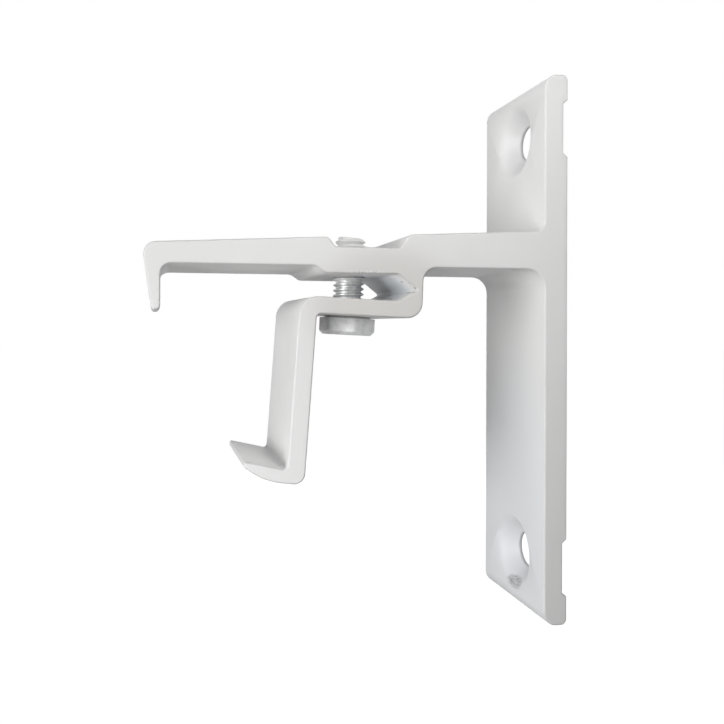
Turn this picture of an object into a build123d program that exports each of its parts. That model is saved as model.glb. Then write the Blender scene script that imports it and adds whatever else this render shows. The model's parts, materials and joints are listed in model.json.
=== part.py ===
from build123d import *
from math import cos, radians, sin, sqrt, tan
import os

# Curtain track bracket: one coated aluminium extrusion, cut to width, with its clamp bolt.
# X runs along the extrusion, +Y points at the wall and +Z is up.
# The origin is the middle of the plate's wall face. Lengths are millimetres, angles are degrees.
# A reach is a distance out from the wall, and a height is measured from the plate's middle.

# Extrusion and wall plate
bracket_width = 25.0
plate_height = 100.0
plate_thickness = 4.5
plate_front_radius = 2.5
plate_back_radius = 1.0
cut_edge_chamfer = 0.22

# Screw holes, with a shallow groove behind each
screw_hole_dia = 6.6
screw_hole_margin = 10.0
screw_hole_centre = 0.3
countersink_dia = 14.0
countersink_angle = 100.0
groove_width = 10.4
groove_depth = 0.83
groove_end_angle = 50.0

# Arm and its hooked nose
arm_reach = 76.0
arm_top_at_wall = 21.72
arm_top_fall = 2.85
arm_underside = 14.5
arm_top_fillet = 2.0
arm_root_fillet = 3.4
nose_thickness = 3.1
nose_lean = 8.0
nose_corner_radius = 2.1
nose_inner_radius = 1.8
nose_tip_height = 6.8
nose_tip_radius = 0.68

# Seat of the bolt, where the arm dips on top and bulges underneath
seat_reach = 37.58
seat_length = 11.6
seat_height = 17.85
seat_thickness = 4.57
seat_wall_angle = 54.0
seat_foot_radius = 0.7
seat_lip_radius = 1.4
boss_reach = 46.0
boss_ramp_angle = 35.0
boss_ramp_radius = 1.8

# Clamp jaw: thin bend that flexes, slot, sloped bar, tilted leg and bottom hook
bend_reach = 27.52
bend_lean = 1.9
bend_wall = 0.9
bend_inner_radius = 2.5
bend_outer_radius = 2.8
slot_apex_height = 10.53
slot_apex_radius = 0.3
slot_upper_angle = 38.3
slot_lower_angle = 29.3
slot_mouth_radius = 1.5
bar_height = 5.43
bar_slope = 2.85
bar_thickness = 2.93
knee_radius = 3.5
knee_inner_radius = 0.9
leg_reach = 46.6
leg_tilt = 4.05
leg_thickness = 3.2
heel_height = -23.0
heel_radius = 1.9
hook_floor_height = -20.3
hook_floor_rise = 12.9
hook_inner_radius = 0.7
hook_length = 7.3
hook_end_height = 0.98
hook_end_lean = 9.5
hook_end_radius = 0.3
hook_toe_rise = 34.0
hook_sole_rise = 7.4
hook_sole_radius = 12.0

# Clamp bolt, a coarse M6 that goes up through the bar into the tapped seat
bolt_reach = 38.12
bolt_length = 14.7
bolt_end_chamfer = 0.6
thread_dia = 5.8
thread_clearance = 0.05
bolt_hole_dia = 6.6
head_across_flats = 9.5
head_corner_radius = 1.3
head_height = 3.45
head_corner_angle = 45.0
head_end_dia = 9.0
washer_face_dia = 8.5
washer_face_height = 0.3
head_turn = 5.0
head_gap = 0.03


def heading(angle):
    """Direction in the side view, as an angle above straight out from the wall."""
    return cos(radians(angle)), sin(radians(angle))


def crossing(point_a, angle_a, point_b, angle_b):
    """Point where two straight runs of the outline meet."""
    (ux, uy), (vx, vy) = heading(angle_a), heading(angle_b)
    dx, dy = point_b[0] - point_a[0], point_b[1] - point_a[1]
    along = (dx * vy - dy * vx) / (ux * vy - uy * vx)
    return point_a[0] + along * ux, point_a[1] + along * uy


def beside(point, angle, distance):
    """Point moved to the left of a run, square to it."""
    ux, uy = heading(angle)
    return point[0] - distance * uy, point[1] + distance * ux


def at_height(point, angle, height):
    """Point of a run at a height."""
    return crossing(point, angle, (0, height), 0)


def at_reach(point, angle, reach):
    """Point of a run at a reach."""
    return crossing(point, angle, (reach, 0), 90)


# Runs of the arm, the nose and the seat, each one a point and an angle
arm_top = (0, arm_top_at_wall), -arm_top_fall
arm_bottom = (0, arm_underside), 0
nose_outside = at_reach(*arm_top, arm_reach), -90 - nose_lean
nose_inside = (arm_reach - nose_thickness, 0), 90
seat_near = seat_reach - seat_length / 2
seat_far = seat_reach + seat_length / 2
seat_bottom = (0, seat_height - seat_thickness), 0
boss_middle = (boss_reach, arm_underside / 2 + seat_bottom[0][1] / 2)

# Runs of the jaw
bend_outside = (bend_reach, slot_apex_height), 90 + bend_lean
slot_apex = (bend_reach + bend_wall, slot_apex_height)
bar_bottom = at_height(*bend_outside, bar_height), bar_slope
bar_top = beside(*bar_bottom, bar_thickness), bar_slope
leg_inside = (leg_reach, bar_height), leg_tilt - 90
leg_outside = beside(*leg_inside, leg_thickness), leg_tilt - 90
hook_corner = at_height(*leg_outside, hook_floor_height)
hook_floor = hook_corner, hook_floor_rise
hook_tip = at_reach(*hook_floor, hook_corner[0] + hook_length)
hook_toe = at_height(hook_tip, hook_end_lean - 90, hook_tip[1] - hook_end_height)
heel = at_height(*leg_inside, heel_height)

# Corners of the side view, each with the radius of its rounding
half_height = plate_height / 2
arm_corners = [
    ((0, half_height), plate_back_radius),
    ((plate_thickness, half_height), plate_front_radius),
    (at_reach(*arm_top, plate_thickness), arm_top_fillet),
    (crossing(*arm_top, (seat_near, seat_height), 180 - seat_wall_angle), seat_lip_radius),
    ((seat_near, seat_height), seat_foot_radius),
    ((seat_far, seat_height), seat_foot_radius),
    (crossing(*arm_top, (seat_far, seat_height), seat_wall_angle), seat_lip_radius),
    (nose_outside[0], nose_corner_radius),
    (at_height(*nose_outside, nose_tip_height), nose_tip_radius),
    (at_height(*nose_inside, nose_tip_height), nose_tip_radius),
    (crossing(*nose_inside, *arm_bottom), nose_inner_radius),
    (crossing(boss_middle, boss_ramp_angle, *arm_bottom), boss_ramp_radius),
    (crossing(boss_middle, boss_ramp_angle, *seat_bottom), boss_ramp_radius),
]
jaw_corners = [
    (crossing(slot_apex, slot_upper_angle, *seat_bottom), slot_mouth_radius),
    (slot_apex, slot_apex_radius),
    (crossing(slot_apex, -slot_lower_angle, *bar_top), slot_mouth_radius),
    (crossing(*bar_top, *leg_outside), knee_radius),
    (hook_corner, hook_inner_radius),
    (hook_tip, hook_end_radius),
    (hook_toe, hook_end_radius),
    (crossing(hook_toe, hook_toe_rise, heel, hook_sole_rise), hook_sole_radius),
    (heel, heel_radius),
    (crossing(*leg_inside, *bar_bottom), knee_inner_radius),
    (bar_bottom[0], bend_outer_radius),
    (crossing(*bend_outside, *arm_bottom), bend_inner_radius),
    ((plate_thickness, arm_underside), arm_root_fillet),
    ((plate_thickness, -half_height), plate_front_radius),
    ((0, -half_height), plate_back_radius),
]
corner_points, corner_radii = zip(*arm_corners, *jaw_corners)

# Side view: first axis is the reach, second axis is up
side = Plane(origin=(0, 0, 0), x_dir=(0, -1, 0), z_dir=(-1, 0, 0))

# Hole rows of the plate, and the bolt, which stands square on the bar's underside
plate_front = Plane(origin=(0, -plate_thickness, screw_hole_centre), x_dir=(1, 0, 0), z_dir=(0, -1, 0))
screw_hole_spacing = plate_height - 2 * screw_hole_margin
groove_heights = [screw_hole_centre + end * screw_hole_spacing / 2 for end in (-1, 1)]
bolt_foot = at_reach(*bar_bottom, bolt_reach)
bolt_lean = radians(bar_slope)
bolt_plane = Plane(
    origin=(0, -bolt_foot[0], bolt_foot[1]),
    x_dir=(1, 0, 0),
    z_dir=(0, sin(bolt_lean), cos(bolt_lean)),
)
slot_middle = (bar_thickness + seat_bottom[0][1] - bolt_foot[1]) / 2

with BuildPart() as bracket_body:
    with BuildSketch(side):
        with BuildLine():
            FilletPolyline(*corner_points, radius=corner_radii, close=True)
        make_face()
        groove_foot = groove_width / 2 - groove_depth / tan(radians(groove_end_angle))
        for height in groove_heights:
            with BuildLine():
                Polyline(
                    (0, height - groove_width / 2),
                    (groove_depth, height - groove_foot),
                    (groove_depth, height + groove_foot),
                    (0, height + groove_width / 2),
                    close=True,
                )
            make_face(mode=Mode.SUBTRACT)
    extrude(amount=bracket_width / 2, both=True)
    cut_faces = bracket_body.faces().sort_by(Axis.X)
    chamfer(cut_faces[0].edges() + cut_faces[-1].edges(), length=cut_edge_chamfer)

    # Countersunk screw holes, drilled from the front
    with Locations(plate_front):
        with GridLocations(0, screw_hole_spacing, 1, 2):
            CounterSinkHole(screw_hole_dia / 2, countersink_dia / 2, counter_sink_angle=countersink_angle)

    # Clearance hole through the bar, then the tapped hole through the seat
    with BuildSketch(bolt_plane):
        Circle(bolt_hole_dia / 2)
    extrude(amount=slot_middle, mode=Mode.SUBTRACT)
    with BuildSketch(bolt_plane.offset(slot_middle)):
        Circle(thread_dia / 2 + thread_clearance)
    extrude(amount=bolt_length, mode=Mode.SUBTRACT)

head_plane = bolt_plane.offset(-head_gap)
head_end = head_plane.offset(-head_height)
with BuildPart() as clamp_bolt:
    # Hexagon, then its corners turned off by a cone at the free end
    with BuildSketch(head_end) as hexagon:
        RegularPolygon(head_across_flats / 2, side_count=6, major_radius=False, rotation=head_turn)
        fillet(hexagon.vertices(), radius=head_corner_radius)
    extrude(amount=head_height - washer_face_height)
    corner_reach = head_across_flats / sqrt(3)
    corner_rise = (corner_reach - head_end_dia / 2) * tan(radians(head_corner_angle))
    with BuildSketch(Plane(origin=head_end.origin, x_dir=head_end.x_dir, z_dir=-head_end.y_dir)):
        Polygon(
            (0, 0),
            (head_end_dia / 2, 0),
            (corner_reach, corner_rise),
            (corner_reach, head_height),
            (0, head_height),
            align=None,
        )
    revolve(axis=Axis(head_end.origin, head_end.z_dir), mode=Mode.INTERSECT)

    # Washer face under the head, and the threaded shank
    with BuildSketch(head_plane):
        Circle(washer_face_dia / 2)
    extrude(amount=-washer_face_height)
    with BuildSketch(head_plane):
        Circle(thread_dia / 2)
    extrude(amount=bolt_length)
    shank_end = clamp_bolt.faces().sort_by(Axis(head_plane.origin, head_plane.z_dir))[-1]
    chamfer(shank_end.edges(), length=bolt_end_chamfer)

os.makedirs("parts", exist_ok=True)
bracket_body.part.label = "bracket_body"
clamp_bolt.part.label = "clamp_bolt"
export_step(bracket_body.part, "parts/bracket_body.step")
export_step(clamp_bolt.part, "parts/clamp_bolt.step")
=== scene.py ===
import bmesh
import bpy
import json
import math
from mathutils import Matrix, Vector


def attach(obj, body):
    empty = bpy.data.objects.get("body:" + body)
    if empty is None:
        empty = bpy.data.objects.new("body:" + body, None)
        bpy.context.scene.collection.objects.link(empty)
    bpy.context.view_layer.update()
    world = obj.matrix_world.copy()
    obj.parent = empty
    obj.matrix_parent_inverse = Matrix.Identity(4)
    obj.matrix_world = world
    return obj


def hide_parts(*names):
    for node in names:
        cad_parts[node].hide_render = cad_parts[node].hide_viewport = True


# Curtain track bracket: a powder-coated extrusion and the zinc-plated bolt that clamps its jaw.
# Everything is in metres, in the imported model's frame: +Y into the wall, +Z up.
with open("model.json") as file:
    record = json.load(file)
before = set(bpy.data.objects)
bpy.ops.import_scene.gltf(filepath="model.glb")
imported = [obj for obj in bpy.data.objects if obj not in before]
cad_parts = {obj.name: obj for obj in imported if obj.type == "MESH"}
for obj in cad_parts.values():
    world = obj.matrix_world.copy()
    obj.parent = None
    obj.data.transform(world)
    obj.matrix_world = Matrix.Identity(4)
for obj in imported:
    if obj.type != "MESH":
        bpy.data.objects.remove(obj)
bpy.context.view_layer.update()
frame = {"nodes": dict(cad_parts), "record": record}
mm = 0.001

boltJoint = frame["record"]["behaviour"]["joints"][0]
boltAxis = Vector(boltJoint["axis"]).normalized()
boltFoot = Vector(boltJoint["pos_m"])  # where the bolt's axis leaves the jaw's bar
print("frame loaded:", sorted(frame["nodes"]))

# Small helpers for node trees
nodeSpacing = (220, 190)


def newNode(tree, kind, **settings):
    made = tree.nodes.new(kind)
    for name, value in settings.items():
        setattr(made, name, value)
    return made


def fill(node, **values):
    for name, value in values.items():
        node.inputs[name.replace("_", " ")].default_value = value
    return node


def connect(tree, socket, value):
    if isinstance(value, (int, float, tuple, Vector)):
        socket.default_value = value
    else:
        tree.links.new(value, socket)


def maths(tree, operation, a, b=None, clamp=False):
    made = newNode(tree, "ShaderNodeMath", operation=operation, use_clamp=clamp)
    connect(tree, made.inputs[0], a)
    if b is not None:
        connect(tree, made.inputs[1], b)
    return made.outputs[0]


def vectorMaths(tree, operation, a, b=None):
    made = newNode(tree, "ShaderNodeVectorMath", operation=operation)
    connect(tree, made.inputs[0], a)
    if b is not None:
        connect(tree, made.inputs[1], b)
    return made.outputs["Value" if operation == "LENGTH" else "Vector"]


def apart(tree, place):
    made = newNode(tree, "ShaderNodeSeparateXYZ")
    connect(tree, made.inputs[0], place)
    return made.outputs


def together(tree, **parts):
    made = newNode(tree, "ShaderNodeCombineXYZ")
    for axis, value in parts.items():
        connect(tree, made.inputs[axis], value)
    return made.outputs[0]


def drawnOut(tree, place, scale):
    made = fill(newNode(tree, "ShaderNodeMapping"), Scale=scale)
    connect(tree, made.inputs["Vector"], place)
    return made.outputs[0]


def noise(tree, place, size, detail, grain):
    made = fill(newNode(tree, "ShaderNodeTexNoise"), Scale=size, Detail=detail, Roughness=grain)
    connect(tree, made.inputs["Vector"], place)
    return made.outputs["Fac"]


def ramp(tree, value, edges, shades=(0, 1)):
    made = newNode(tree, "ShaderNodeValToRGB")
    for element, edge, shade in zip(made.color_ramp.elements, edges, shades):
        element.position = edge
        element.color = (shade, shade, shade, 1)
    connect(tree, made.inputs["Fac"], value)
    return made.outputs["Color"]


def fade(tree, value, full, none):
    made = newNode(tree, "ShaderNodeMapRange", interpolation_type="SMOOTHSTEP")
    fill(made, From_Min=full, From_Max=none, To_Min=1, To_Max=0)
    connect(tree, made.inputs["Value"], value)
    return made.outputs["Result"]


def mixShade(tree, factor, a, b, blend="MIX"):
    made = newNode(tree, "ShaderNodeMix", data_type="RGBA", blend_type=blend)
    given = {socket.name: socket for socket in made.inputs if socket.enabled}
    for name, value in (("Factor", factor), ("A", a), ("B", b)):
        connect(tree, given[name], value)
    return [socket for socket in made.outputs if socket.enabled][0]


def bumped(tree, height, normal=None, **values):
    made = fill(newNode(tree, "ShaderNodeBump"), **values)
    connect(tree, made.inputs["Height"], height)
    if normal is not None:
        connect(tree, made.inputs["Normal"], normal)
    return made


def lineUp(tree):
    # each node stands one column left of the nodes it feeds
    column = {node.name: 0 for node in tree.nodes}
    for _ in column:
        for link in tree.links:
            ahead = column[link.to_node.name] + 1
            column[link.from_node.name] = max(column[link.from_node.name], ahead)
    filled = [0] * (len(column) + 1)
    for node in tree.nodes:
        steps = column[node.name]
        node.location = (-steps * nodeSpacing[0], -filled[steps] * nodeSpacing[1])
        filled[steps] += 1


def newMaterial(name):
    made = bpy.data.materials.new(name)
    made.use_nodes = True
    made.node_tree.nodes.clear()
    return made, made.node_tree


def newSurface(name):
    made, tree = newMaterial(name)
    shader = newNode(tree, "ShaderNodeBsdfPrincipled")
    out = newNode(tree, "ShaderNodeOutputMaterial")
    tree.links.new(shader.outputs[0], out.inputs["Surface"])
    return made, tree, shader, newNode(tree, "ShaderNodeTexCoord").outputs["Object"]


# Powder coat. Each noise here is its waves per metre, its detail and its grain.
coat = {
    "colour": (0.83, 0.83, 0.825, 1),
    "thinner": (0.79, 0.79, 0.785, 1),  # where the powder lies a little thinner
    "drift": (38.0, 2.0, 0.5),  # how that comes and goes
    "driftEdges": (0.35, 0.70),
    "roughness": (0.40, 0.50),
    "glossEdges": (0.30, 0.70),
    "peel": (700.0, 2.0, 0.45),  # orange peel
    "peelHeight": 0.010 * mm,
    "peelStrength": 0.3,
    "refraction": 1.5,
    "edgeSoftness": 0.45 * mm,  # how far the coat rounds the shading of an edge
    "edgeSamples": 6,
    "edgeShade": (0.89, 0.89, 0.89, 1),  # painted shade along the sawn edges, damping their highlight
    "edgeShadeInner": (12.34 * mm, 12.26 * mm),  # how far out from the middle that tint begins
    "edgeShadeOuter": (12.46 * mm, 12.50 * mm),  # and where it ends
    "wipedFrom": (12.20 * mm, 12.28 * mm),  # the near cut face was wiped and has no smudge
    "grime": (0.16, 0.165, 0.17, 1),
}
paintedLightZones = {  # painted shade and painted cool light: middle, reach, the colour painted there, and whether the cut faces take it too
    # painted shade, warm grey, over the jaw's bar and bend
    "shadedJaw": (
        (0.0130, -0.0345, 0.0070), (0.0060, 0.0170, 0.0145), (0.69, 0.675, 0.655, 1), True),
    # painted cool light: a bluish cast on the plate's foot and in the slot
    "coolLightOnFoot": (
        (0.0, -0.0045, -0.0450), (0.0260, 0.0050, 0.0480), (0.81, 0.828, 0.85, 1), False),
    "coolLightInSlot": (
        (0.0, -0.0330, 0.0115), (0.0150, 0.0100, 0.0050), (0.81, 0.83, 0.85, 1), False),
    # painted shade in the countersinks, bluish in the lower one
    "shadedUpperSink": (
        (0.0, -0.0025, 0.0403), (0.0085, 0.0040, 0.0085), (0.735, 0.735, 0.735, 1), False),
    "shadedFootSink": (
        (0.0, -0.0025, -0.0397), (0.0085, 0.0040, 0.0085), (0.745, 0.76, 0.78, 1), False),
}
smudges = {  # middle, reach, strength, and whether it is a smear or specks
    "slotApex": ((0.0100, -0.0290, 0.0107), (0.0034, 0.0036, 0.0024), 0.9, "specks"),
    "slotLower": ((0.0060, -0.0325, 0.0086), (0.0060, 0.0036, 0.0016), 0.8, "specks"),
    "lowerSink": ((0.0004, -0.0036, -0.0460), (0.0040, 0.0020, 0.0014), 0.85, "smear"),
}
smudgeGrain = {
    "drawnOut": (0.45, 1, 1),  # wiped along the extrusion
    "smear": (2600.0, 6.0, 0.8),
    "smearEdges": (0.40, 0.62),
    "smearShades": (0.25, 1),
    "specks": 1000.0,
    "speckEdges": (0.20, 0.34),
}
spotEdges = (0.5, 1.0)  # shares of a spot's reach between which it fades out
tapBurr = {  # torn coat and bright burrs where the tap came through the seat
    "colour": (0.93, 0.94, 0.95, 1),
    "shine": 0.15,
    "height": 0.08 * mm,
    "strength": 0.9,
    "tear": (3000.0, 4.0, 0.7),
    "tearEdges": (0.42, 0.55),
    "reach": (3.6 * mm, 6.4 * mm),
    "drawnOut": (1, 0.35, 1),  # further along the extrusion than across it
    "level": 13.28 * mm,  # the seat's underside
    "within": 0.5 * mm,
}


def spot(tree, place, middle, reach):
    moved = vectorMaths(tree, "SUBTRACT", place, middle)
    away = vectorMaths(tree, "LENGTH", vectorMaths(tree, "DIVIDE", moved, reach))
    return fade(tree, away, *spotEdges)


def coatWithPaintedShade(tree, place, drift, inside):
    uneven = ramp(tree, drift, coat["driftEdges"])
    shade = mixShade(tree, uneven, coat["colour"], coat["thinner"])
    # lay the painted shade and painted cool light over the coat
    for middle, reach, colour, onCutFaces in paintedLightZones.values():
        mask = spot(tree, place, middle, reach)
        if not onCutFaces:
            mask = maths(tree, "MULTIPLY", mask, inside)
        shade = mixShade(tree, mask, shade, colour)
    # painted shade: the sawn edges are darkened to damp their highlight
    outward = maths(tree, "ABSOLUTE", apart(tree, place)["X"])
    inner = fade(tree, outward, *coat["edgeShadeInner"])
    onEdge = maths(tree, "MULTIPLY", inner, fade(tree, outward, *coat["edgeShadeOuter"]))
    return mixShade(tree, onEdge, shade, coat["edgeShade"], "MULTIPLY")


def smudged(tree, place, inside):
    rubbed = drawnOut(tree, place, smudgeGrain["drawnOut"])
    streaks = noise(tree, rubbed, *smudgeGrain["smear"])
    dots = fill(newNode(tree, "ShaderNodeTexVoronoi"), Scale=smudgeGrain["specks"])
    connect(tree, dots.inputs["Vector"], rubbed)
    patterns = {
        "smear": ramp(tree, streaks, smudgeGrain["smearEdges"], smudgeGrain["smearShades"]),
        "specks": fade(tree, dots.outputs["Distance"], *smudgeGrain["speckEdges"]),
    }
    dirt = 0.0
    for middle, reach, strength, kind in smudges.values():
        broken = maths(tree, "MULTIPLY", patterns[kind], strength)
        mark = maths(tree, "MULTIPLY", spot(tree, place, middle, reach), broken)
        dirt = maths(tree, "MAXIMUM", mark, dirt)
    return maths(tree, "MULTIPLY", dirt, inside)


def tornRing(tree, place):
    across = vectorMaths(tree, "CROSS_PRODUCT",
                         vectorMaths(tree, "SUBTRACT", place, boltFoot), boltAxis)
    away = vectorMaths(tree, "LENGTH",
                       vectorMaths(tree, "MULTIPLY", across, tapBurr["drawnOut"]))
    ring = fade(tree, away, *tapBurr["reach"])
    underSeat = maths(tree, "COMPARE", apart(tree, place)["Z"], tapBurr["level"])
    underSeat.node.inputs[2].default_value = tapBurr["within"]
    tears = ramp(tree, noise(tree, place, *tapBurr["tear"]), tapBurr["tearEdges"])
    return maths(tree, "MULTIPLY", maths(tree, "MULTIPLY", ring, underSeat), tears)


def makeCoat():
    made, tree, shader, place = newSurface("powderCoat")
    fill(shader, IOR=coat["refraction"])
    drift = noise(tree, place, *coat["drift"])
    inside = fade(tree, apart(tree, place)["X"], *coat["wipedFrom"])
    shade = coatWithPaintedShade(tree, place, drift, inside)
    soiled = mixShade(tree, smudged(tree, place, inside), shade, coat["grime"])
    torn = tornRing(tree, place)
    connect(tree, shader.inputs["Base Color"], mixShade(tree, torn, soiled, tapBurr["colour"]))
    connect(tree, shader.inputs["Metallic"], maths(tree, "MULTIPLY", torn, tapBurr["shine"]))
    gloss = ramp(tree, drift, coat["glossEdges"], coat["roughness"])
    connect(tree, shader.inputs["Roughness"], gloss)
    rounding = newNode(tree, "ShaderNodeBevel", samples=coat["edgeSamples"])
    fill(rounding, Radius=coat["edgeSoftness"])
    peel = bumped(tree, noise(tree, place, *coat["peel"]), rounding.outputs["Normal"],
                  Strength=coat["peelStrength"], Distance=coat["peelHeight"])
    burrs = bumped(tree, torn, peel.outputs["Normal"],
                   Strength=tapBurr["strength"], Distance=tapBurr["height"])
    connect(tree, shader.inputs["Normal"], burrs.outputs["Normal"])
    lineUp(tree)
    return made


# Zinc plate
zinc = {
    "colour": (0.86, 0.865, 0.86, 1),
    "dull": (0.75, 0.755, 0.755, 1),
    "cloud": (900.0, 5.0, 0.65),
    "cloudEdges": (0.40, 0.65),
    "metal": 0.90,  # the rest is the dull white bloom of zinc
    "roughness": (0.30, 0.42),
    "glossEdges": (0.30, 0.70),
    "headRougher": 0.22,  # the head is duller than the rolled thread
    "headTop": (5.6 * mm, 6.1 * mm),
    "fleck": (4200.0, 3.0, 0.6),  # dark flecks where the plating broke on the rolled thread
    "fleckEdges": (0.52, 0.62),
    "fleckColour": (0.60, 0.61, 0.61, 1),
    "scratch": (2600.0, 5.0, 0.6),
    "scratchDrawnOut": (1, 1, 0.15),  # drawn lines run up the bolt
    "scratchHeight": 0.045 * mm,
    "scratchOnShank": 0.9,
    "scratchOnHead": 0.2,
    "paleTip": (11.9 * mm, 13.2 * mm),  # heights between which the shank turns pale white, a painted highlight
    "paleTipGrain": (1500.0, 4.0, 0.7),
    "paleTipRagged": 3.0 * mm,
    "paleTipColour": (0.92, 0.92, 0.91, 1),
}


def makeZinc():
    made, tree, shader, place = newSurface("zincPlate")
    height = apart(tree, place)["Z"]
    onHead = fade(tree, height, *zinc["headTop"])
    cloud = noise(tree, place, *zinc["cloud"])
    patches = ramp(tree, cloud, zinc["cloudEdges"])
    steel = mixShade(tree, patches, zinc["colour"], zinc["dull"])
    flecks = ramp(tree, noise(tree, place, *zinc["fleck"]), zinc["fleckEdges"])
    broken = maths(tree, "MULTIPLY", flecks, maths(tree, "SUBTRACT", 1, onHead))
    steel = mixShade(tree, broken, steel, zinc["fleckColour"])

    # the bolt's tip painted pale white and less metal: a painted highlight for the bright light
    # it catches from above
    grain = noise(tree, place, *zinc["paleTipGrain"])
    ragged = maths(tree, "MULTIPLY", maths(tree, "SUBTRACT", grain, 0.5), zinc["paleTipRagged"])
    metalBelowTip = fade(tree, maths(tree, "ADD", height, ragged), *zinc["paleTip"])
    connect(tree, shader.inputs["Base Color"], mixShade(tree, metalBelowTip, zinc["paleTipColour"], steel))
    connect(tree, shader.inputs["Metallic"], maths(tree, "MULTIPLY", metalBelowTip, zinc["metal"]))

    gloss = ramp(tree, cloud, zinc["glossEdges"], zinc["roughness"])
    duller = maths(tree, "MULTIPLY", onHead, zinc["headRougher"])
    connect(tree, shader.inputs["Roughness"], maths(tree, "ADD", gloss, duller))
    lines = noise(tree, drawnOut(tree, place, zinc["scratchDrawnOut"]), *zinc["scratch"])
    weaker = maths(tree, "MULTIPLY", onHead, zinc["scratchOnShank"] - zinc["scratchOnHead"])
    scratches = bumped(tree, lines, Distance=zinc["scratchHeight"])
    connect(tree, scratches.inputs["Strength"],
            maths(tree, "SUBTRACT", zinc["scratchOnShank"], weaker))
    connect(tree, shader.inputs["Normal"], scratches.outputs["Normal"])
    lineUp(tree)
    return made


powderCoat = makeCoat()
zincPlate = makeZinc()
print("materials made")

# Bracket: the CAD solid. Its flat faces stay flat, and the coat softens its edges.
bracket = {
    "mergeWithin": 0.002 * mm,
    "cutFaceAim": 0.9999,  # a cut face's normal points along X at least this much
    "sharpAbove": 48.0,  # degrees; the deburred cut edges stay below this
    "flatness": 100,  # how strongly the large faces set the shading
}


def creaseEdges(work, sharpAbove):
    for edge in work.edges:
        edge.smooth = edge.calc_face_angle(math.pi) < math.radians(sharpAbove)


def dressNode(name, material):
    mesh = frame["nodes"][name].data
    mesh.materials.clear()
    mesh.materials.append(material)


def makeBracket():
    mesh = frame["nodes"]["bracket_body"].data.copy()
    mesh.name = "bracketCoat"
    work = bmesh.new()
    work.from_mesh(mesh)
    bmesh.ops.remove_doubles(work, verts=work.verts, dist=bracket["mergeWithin"])
    work.normal_update()
    for side in (-1, 1):
        cutFace = [face for face in work.faces if face.normal.x * side > bracket["cutFaceAim"]]
        bmesh.ops.dissolve_faces(work, faces=cutFace)
    for face in work.faces:
        face.smooth = True
    creaseEdges(work, bracket["sharpAbove"])
    work.to_mesh(mesh)
    work.free()
    mesh.materials.clear()
    mesh.materials.append(powderCoat)
    made = bpy.data.objects.new("bracketCoat", mesh)
    bpy.context.scene.collection.objects.link(made)
    weigh = made.modifiers.new("flatFacesStayFlat", "WEIGHTED_NORMAL")
    weigh.keep_sharp = True
    weigh.weight = bracket["flatness"]
    return made


bracketCoat = makeBracket()
dressNode("bracket_body", powderCoat)
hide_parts("bracket_body")
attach(bracketCoat, "bracket")
print("bracket coated:", len(bracketCoat.data.polygons), "faces")

# Clamp bolt: a hexagon head, and a shank whose thread the node tree cuts
bolt = {
    "length": 14.7 * mm,
    "sink": 0.2 * mm,  # how deep the shank starts inside the head
    "threadRadius": 2.9 * mm,
    "pitch": 1.0 * mm,
    "threadDepth": 0.58 * mm,
    "crestShare": 0.16,  # flat share of a pitch at the crest
    "rootShare": 0.2,
    "endChamfer": 0.6 * mm,
    "startTurn": 0.2,  # where the thread starts, in turns
    "endSlant": 0.07,  # the sheared end falls towards the wall
    "slantOver": 1.4 * mm,
    "stepsAround": 72,
    "stepsPerPitch": 12,
    "mergeWithin": 0.002 * mm,
    "headGap": 0.03 * mm,
    "acrossFlats": 9.5 * mm,
    "cornerRadius": 1.3 * mm,
    "cornerSteps": 8,
    "headHeight": 3.45 * mm,
    "headTurn": 5.0,  # degrees
    "endDia": 9.0 * mm,
    "washerDia": 8.5 * mm,
    "washerHeight": 0.3 * mm,
    "edgeSoftness": 0.12 * mm,
    "edgeSteps": 2,
    "softenAbove": 28.0,  # degrees
    "sharpAbove": 50.0,
}
shankLength = bolt["length"] + bolt["sink"]
turnsUp = math.ceil((shankLength + bolt["pitch"]) / bolt["pitch"])
threadInputs = {
    "Length": shankLength,
    "Radius": bolt["threadRadius"],
    "Pitch": bolt["pitch"],
    "Depth": bolt["threadDepth"],
    "Crest": bolt["crestShare"],
    "Root": bolt["rootShare"],
    "Chamfer": bolt["endChamfer"],
    "Start": bolt["startTurn"],
    "Slant": bolt["endSlant"],
    "SlantOver": bolt["slantOver"],
    "Sink": bolt["sink"],
    "Around": bolt["stepsAround"],
    "Rows": turnsUp * bolt["stepsPerPitch"],
}
boltLean = math.atan2(boltAxis.y, boltAxis.z)
headFoot = Matrix.Translation(boltFoot - boltAxis * bolt["headGap"])
boltFrame = headFoot @ Matrix.Rotation(-boltLean, 4, "X")


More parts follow.
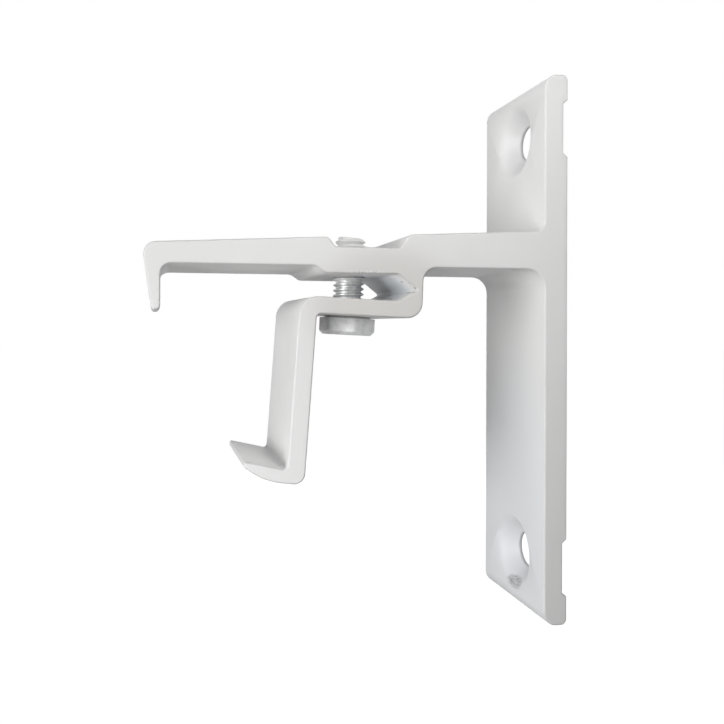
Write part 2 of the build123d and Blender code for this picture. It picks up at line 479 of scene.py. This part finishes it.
def buildThreadTree():
    tree = bpy.data.node_groups.new("screwThread", "GeometryNodeTree")
    sockets = [("Geometry", "NodeSocketGeometry"), ("Material", "NodeSocketMaterial")]
    for name, value in threadInputs.items():
        kind = "NodeSocketInt" if isinstance(value, int) else "NodeSocketFloat"
        sockets.append((name, kind))
    for name, kind in sockets:
        tree.interface.new_socket(name, in_out="INPUT", socket_type=kind)
    tree.interface.new_socket("Geometry", in_out="OUTPUT", socket_type="NodeSocketGeometry")
    given = newNode(tree, "NodeGroupInput").outputs
    link = tree.links.new

    def calc(operation, a, b=None, clamp=False):
        return maths(tree, operation, a, b, clamp)

    # a flat grid whose rows will follow the helix
    grid = fill(newNode(tree, "GeometryNodeMeshGrid"), Size_X=1.0, Size_Y=1.0)
    link(calc("ADD", given["Around"], 1), grid.inputs["Vertices X"])
    link(calc("ADD", given["Rows"], 1), grid.inputs["Vertices Y"])
    onGrid = apart(tree, newNode(tree, "GeometryNodeInputPosition").outputs[0])
    turn = calc("ADD", onGrid["X"], 0.5)
    climb = calc("ADD", onGrid["Y"], 0.5)

    # height: one pitch a turn, held between the two ends of the shank
    span = calc("ADD", given["Length"], given["Pitch"])
    turns = calc("CEIL", calc("DIVIDE", span, given["Pitch"]))
    helixTurns = calc("SUBTRACT", calc("ADD", calc("MULTIPLY", climb, turns), turn), 1)
    raised = calc("MULTIPLY", helixTurns, given["Pitch"])
    height = calc("MINIMUM", calc("MAXIMUM", raised, 0), given["Length"])

    # V profile with flat crest and root, from how far a point is through its pitch
    pitches = calc("DIVIDE", height, given["Pitch"])
    phase = calc("FRACT", calc("SUBTRACT", pitches, turn))
    fromCrest = calc("MULTIPLY", calc("ABSOLUTE", calc("SUBTRACT", phase, 0.5)), 2)
    groove = newNode(tree, "ShaderNodeMapRange", interpolation_type="LINEAR", clamp=True)
    link(fromCrest, groove.inputs["Value"])
    link(given["Crest"], groove.inputs["From Min"])
    link(calc("SUBTRACT", 1, given["Root"]), groove.inputs["From Max"])
    link(given["Depth"], groove.inputs["To Max"])
    cut = calc("SUBTRACT", given["Radius"], groove.outputs["Result"])
    toEnd = calc("MINIMUM", height, calc("SUBTRACT", given["Length"], height))
    endRadius = calc("SUBTRACT", given["Radius"], given["Chamfer"])
    radius = calc("MINIMUM", cut, calc("ADD", endRadius, toEnd))

    angle = calc("MULTIPLY", turn, 2 * math.pi)
    wrapped = together(tree, X=calc("MULTIPLY", radius, calc("COSINE", angle)),
                       Y=calc("MULTIPLY", radius, calc("SINE", angle)), Z=height)
    helix = newNode(tree, "GeometryNodeSetPosition")
    link(grid.outputs["Mesh"], helix.inputs["Geometry"])
    link(wrapped, helix.inputs["Position"])

    # both ends closed by discs of the chamfer's small radius
    disc = newNode(tree, "GeometryNodeMeshCircle", fill_type="TRIANGLE_FAN")
    link(given["Around"], disc.inputs["Vertices"])
    link(endRadius, disc.inputs["Radius"])
    upper = newNode(tree, "GeometryNodeTransform")
    link(disc.outputs[0], upper.inputs["Geometry"])
    link(together(tree, Z=given["Length"]), upper.inputs["Translation"])
    lower = newNode(tree, "GeometryNodeFlipFaces")
    link(disc.outputs[0], lower.inputs["Mesh"])
    shells = newNode(tree, "GeometryNodeJoinGeometry")
    for part in (helix, upper, lower):
        link(part.outputs[0], shells.inputs[0])
    closed = newNode(tree, "GeometryNodeMergeByDistance")
    fill(closed, Distance=bolt["mergeWithin"])
    link(shells.outputs[0], closed.inputs["Geometry"])

    # the closed shank is turned to where its thread starts
    started = newNode(tree, "GeometryNodeTransform")
    link(closed.outputs[0], started.inputs["Geometry"])
    spin = together(tree, Z=calc("MULTIPLY", given["Start"], 2 * math.pi))
    link(spin, started.inputs["Rotation"])

    # the sheared end slants a little
    onShank = apart(tree, newNode(tree, "GeometryNodeInputPosition").outputs[0])
    slantFoot = calc("SUBTRACT", given["Length"], given["SlantOver"])
    above = calc("SUBTRACT", onShank["Z"], slantFoot)
    share = calc("DIVIDE", above, given["SlantOver"], clamp=True)
    fall = calc("MULTIPLY", onShank["Y"], calc("MULTIPLY", given["Slant"], -1))
    sheared = newNode(tree, "GeometryNodeSetPosition")
    link(started.outputs[0], sheared.inputs["Geometry"])
    link(together(tree, Z=calc("MULTIPLY", share, fall)), sheared.inputs["Offset"])

    # the shank is one piece of steel with the head that comes in
    sunk = newNode(tree, "GeometryNodeTransform")
    link(sheared.outputs[0], sunk.inputs["Geometry"])
    link(together(tree, Z=calc("MULTIPLY", given["Sink"], -1)), sunk.inputs["Translation"])
    joined = newNode(tree, "GeometryNodeMeshBoolean", operation="UNION", solver="EXACT")
    link(given["Geometry"], joined.inputs["Mesh"])
    link(sunk.outputs[0], joined.inputs["Mesh"])
    real = newNode(tree, "GeometryNodeRealizeInstances")
    link(joined.outputs["Mesh"], real.inputs["Geometry"])
    dressed = newNode(tree, "GeometryNodeSetMaterial")
    link(real.outputs[0], dressed.inputs["Geometry"])
    link(given["Material"], dressed.inputs["Material"])
    link(dressed.outputs[0], newNode(tree, "NodeGroupOutput").inputs[0])
    lineUp(tree)
    return tree


def headOutline():
    # rounded hexagon drawn round the axis
    rounding, steps = bolt["cornerRadius"], bolt["cornerSteps"]
    centreReach = (bolt["acrossFlats"] / 2 - rounding) / math.cos(math.pi / 6)
    outline = []
    for corner in range(6):
        middle = math.radians(bolt["headTurn"]) + corner * math.pi / 3
        centre = Vector((math.cos(middle), math.sin(middle))) * centreReach
        for step in range(steps + 1):
            aim = middle + math.radians(-30 + 60 * step / steps)
            outline.append(centre + Vector((math.cos(aim), math.sin(aim))) * rounding)
    return outline


def headMesh():
    outline = headOutline()
    endRadius, washer = bolt["endDia"] / 2, bolt["washerDia"] / 2
    low, high = -bolt["headHeight"], -bolt["washerHeight"]
    levels = [
        [(p.normalized() * endRadius, low) for p in outline],
        [(p, low + max(0, p.length - endRadius)) for p in outline],  # corners turned off
        [(p, high) for p in outline],
        [(p.normalized() * washer, high) for p in outline],
        [(p.normalized() * washer, 0) for p in outline],
    ]
    work = bmesh.new()
    rings = [[work.verts.new((p.x, p.y, z)) for p, z in level] for level in levels]
    count = len(outline)
    for lower, upper in zip(rings, rings[1:]):
        for i in range(count):
            j = (i + 1) % count
            work.faces.new((lower[i], lower[j], upper[j], upper[i]))
    work.faces.new(list(reversed(rings[0])))
    work.faces.new(rings[-1])
    bmesh.ops.recalc_face_normals(work, faces=work.faces)
    mesh = bpy.data.meshes.new("boltHead")
    work.to_mesh(mesh)
    work.free()
    return mesh


def makeBolt():
    made = bpy.data.objects.new("hexBolt", headMesh())
    bpy.context.scene.collection.objects.link(made)
    soften = made.modifiers.new("softenEdges", "BEVEL")
    soften.width = bolt["edgeSoftness"]
    soften.segments = bolt["edgeSteps"]
    soften.limit_method = "ANGLE"
    soften.angle_limit = math.radians(bolt["softenAbove"])
    cut = made.modifiers.new("cutThread", "NODES")
    cut.node_group = buildThreadTree()
    settings = dict(threadInputs, Material=zincPlate)
    for socket in cut.node_group.interface.items_tree:
        if socket.in_out == "INPUT" and socket.name in settings:
            cut[socket.identifier] = settings[socket.name]
    graph = bpy.context.evaluated_depsgraph_get()
    mesh = bpy.data.meshes.new_from_object(made.evaluated_get(graph))
    made.modifiers.clear()
    made.data = mesh
    mesh.transform(boltFrame)
    mesh.shade_smooth()
    work = bmesh.new()
    work.from_mesh(mesh)
    creaseEdges(work, bolt["sharpAbove"])
    work.to_mesh(mesh)
    work.free()
    return made


hexBolt = makeBolt()
dressNode("clamp_bolt", zincPlate)
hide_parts("clamp_bolt")
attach(hexBolt, "bolt")
print("bolt cut:", len(hexBolt.data.polygons), "faces")

# Floor, sky and lamps
studio = {
    "floorHeight": -0.125,
    "floorSize": 8.0,
    "floorColour": (0.13, 0.13, 0.13, 1),  # the light it throws back up
    "floorGlow": (0.985, 1.0),  # white to the eye, under the object and beyond the lamps
    "glowReach": (0.15, 0.50),
    "floorMirrored": 0.52,  # how much of the white shows in gloss and metal
    "skyMirrored": 0.70,
}
lamps = {  # place, aim, size and power in watts
    "frontSoftbox": ((0.204, -0.592, -0.052), (0, -0.03, 0), 0.30, 2.25),
    "leftFill": ((-0.362, -0.462, 0.205), (0, -0.03, 0), 0.40, 0.17),
    "jawLight": ((0.123, -0.153, -0.047), (0, -0.03, 0), 0.10, 0.100),
    "upperRearLight": ((0.124, 0.003, 0.153), (0, -0.03, 0), 0.10, 0.108),
    "plateTopLight": ((0.090, -0.030, 0.100), (0.0125, -0.003, 0.04), 0.06, 0.032),
    "armLight": ((0.080, -0.130, 0.030), (0.0125, -0.06, 0.018), 0.06, 0.010),
    "plateFrontLight": ((0.050, -0.120, 0.120), (0, -0.004, 0.04), 0.08, 0.017),
    "legLight": ((0.070, -0.056, -0.040), (0.0125, -0.052, -0.018), 0.05, 0.0095),
    "wallSideFill": ((-0.150, 0.600, 0.005), (0, 0, 0), 0.40, 2.1),
    "farSideFill": ((-0.600, 0.080, 0.005), (0, -0.03, 0), 0.40, 1.35),
    "plateEdgeLight": ((0.070, -0.010, 0.040), (0.0125, -0.003, 0.030), 0.05, 0.003),
}
notMirrored = ("wallSideFill", "farSideFill")  # they only lift the sides the photograph hides


def whiteToTheEye(tree, mirrored):
    path = newNode(tree, "ShaderNodeLightPath").outputs
    bent = maths(tree, "MAXIMUM", path["Is Glossy Ray"], path["Is Transmission Ray"])
    return maths(tree, "MAXIMUM", path["Is Camera Ray"], maths(tree, "MULTIPLY", bent, mirrored))


def makeFloor():
    made, tree = newMaterial("paleFloor")
    matte = fill(newNode(tree, "ShaderNodeBsdfDiffuse"), Color=studio["floorColour"])
    place = newNode(tree, "ShaderNodeTexCoord").outputs["Object"]
    lampless = fade(tree, vectorMaths(tree, "LENGTH", place), *reversed(studio["glowReach"]))
    near, far = studio["floorGlow"]
    level = maths(tree, "ADD", maths(tree, "MULTIPLY", lampless, far - near), near)
    white = whiteToTheEye(tree, studio["floorMirrored"])
    glow = newNode(tree, "ShaderNodeEmission")
    connect(tree, glow.inputs["Strength"], maths(tree, "MULTIPLY", white, level))
    both = newNode(tree, "ShaderNodeAddShader")
    tree.links.new(matte.outputs[0], both.inputs[0])
    tree.links.new(glow.outputs[0], both.inputs[1])
    out = newNode(tree, "ShaderNodeOutputMaterial")
    tree.links.new(both.outputs[0], out.inputs["Surface"])
    lineUp(tree)
    half = studio["floorSize"] / 2
    corners = [(-half, -half), (half, -half), (half, half), (-half, half)]
    mesh = bpy.data.meshes.new("floor")
    mesh.from_pydata([(x, y, studio["floorHeight"]) for x, y in corners], [], [(0, 1, 2, 3)])
    mesh.materials.append(made)
    floor = bpy.data.objects.new("floor", mesh)
    bpy.context.scene.collection.objects.link(floor)


def makeSky():
    world = bpy.data.worlds.new("studioWorld")
    world.use_nodes = True
    bpy.context.scene.world = world
    tree = world.node_tree
    tree.nodes.clear()
    sky = fill(newNode(tree, "ShaderNodeBackground"), Color=(1, 1, 1, 1))
    connect(tree, sky.inputs["Strength"], whiteToTheEye(tree, studio["skyMirrored"]))
    out = newNode(tree, "ShaderNodeOutputWorld")
    tree.links.new(sky.outputs[0], out.inputs["Surface"])
    lineUp(tree)


def makeLamps():
    for name, (place, aim, size, power) in lamps.items():
        light = bpy.data.lights.new(name, "AREA")
        light.shape = "SQUARE"
        light.size = size
        light.energy = power
        made = bpy.data.objects.new(name, light)
        bpy.context.scene.collection.objects.link(made)
        made.location = place
        made.rotation_mode = "QUATERNION"
        made.rotation_quaternion = (Vector(aim) - Vector(place)).to_track_quat("-Z", "Y")
        made.visible_camera = False
        made.visible_glossy = name not in notMirrored


# The camera was fitted to the photograph's edges, in a square picture.
eye = {
    "place": (0.140644, -0.073835, 0.004404),
    "yaw": 0.187464,  # radians, from looking along -X
    "pitch": 0.002418,
    "roll": 0.003556,
    "focal": 38.18,
    "sensor": 36,
    "shift": (0.0856, -0.0543),
    "clip": (0.01, 20),
}


def makeCamera():
    yaw, pitch, roll = eye["yaw"], eye["pitch"], eye["roll"]
    forward = Vector((-math.cos(yaw) * math.cos(pitch),
                      math.sin(yaw) * math.cos(pitch), math.sin(pitch)))
    level = Vector((math.sin(yaw), math.cos(yaw), 0))
    upright = level.cross(forward)
    right = math.cos(roll) * level + math.sin(roll) * upright
    up = math.cos(roll) * upright - math.sin(roll) * level
    lens = bpy.data.cameras.new("camera")
    lens.sensor_width = eye["sensor"]
    lens.lens = eye["focal"]
    lens.shift_x, lens.shift_y = eye["shift"]
    lens.clip_start, lens.clip_end = eye["clip"]
    made = bpy.data.objects.new("camera", lens)
    bpy.context.scene.collection.objects.link(made)
    turned = Matrix((right, up, -forward)).transposed().to_4x4()
    made.matrix_world = Matrix.Translation(eye["place"]) @ turned
    bpy.context.scene.camera = made


makeFloor()
makeSky()
makeLamps()
makeCamera()
bpy.context.scene.view_settings.view_transform = "Standard"
print("studio ready")
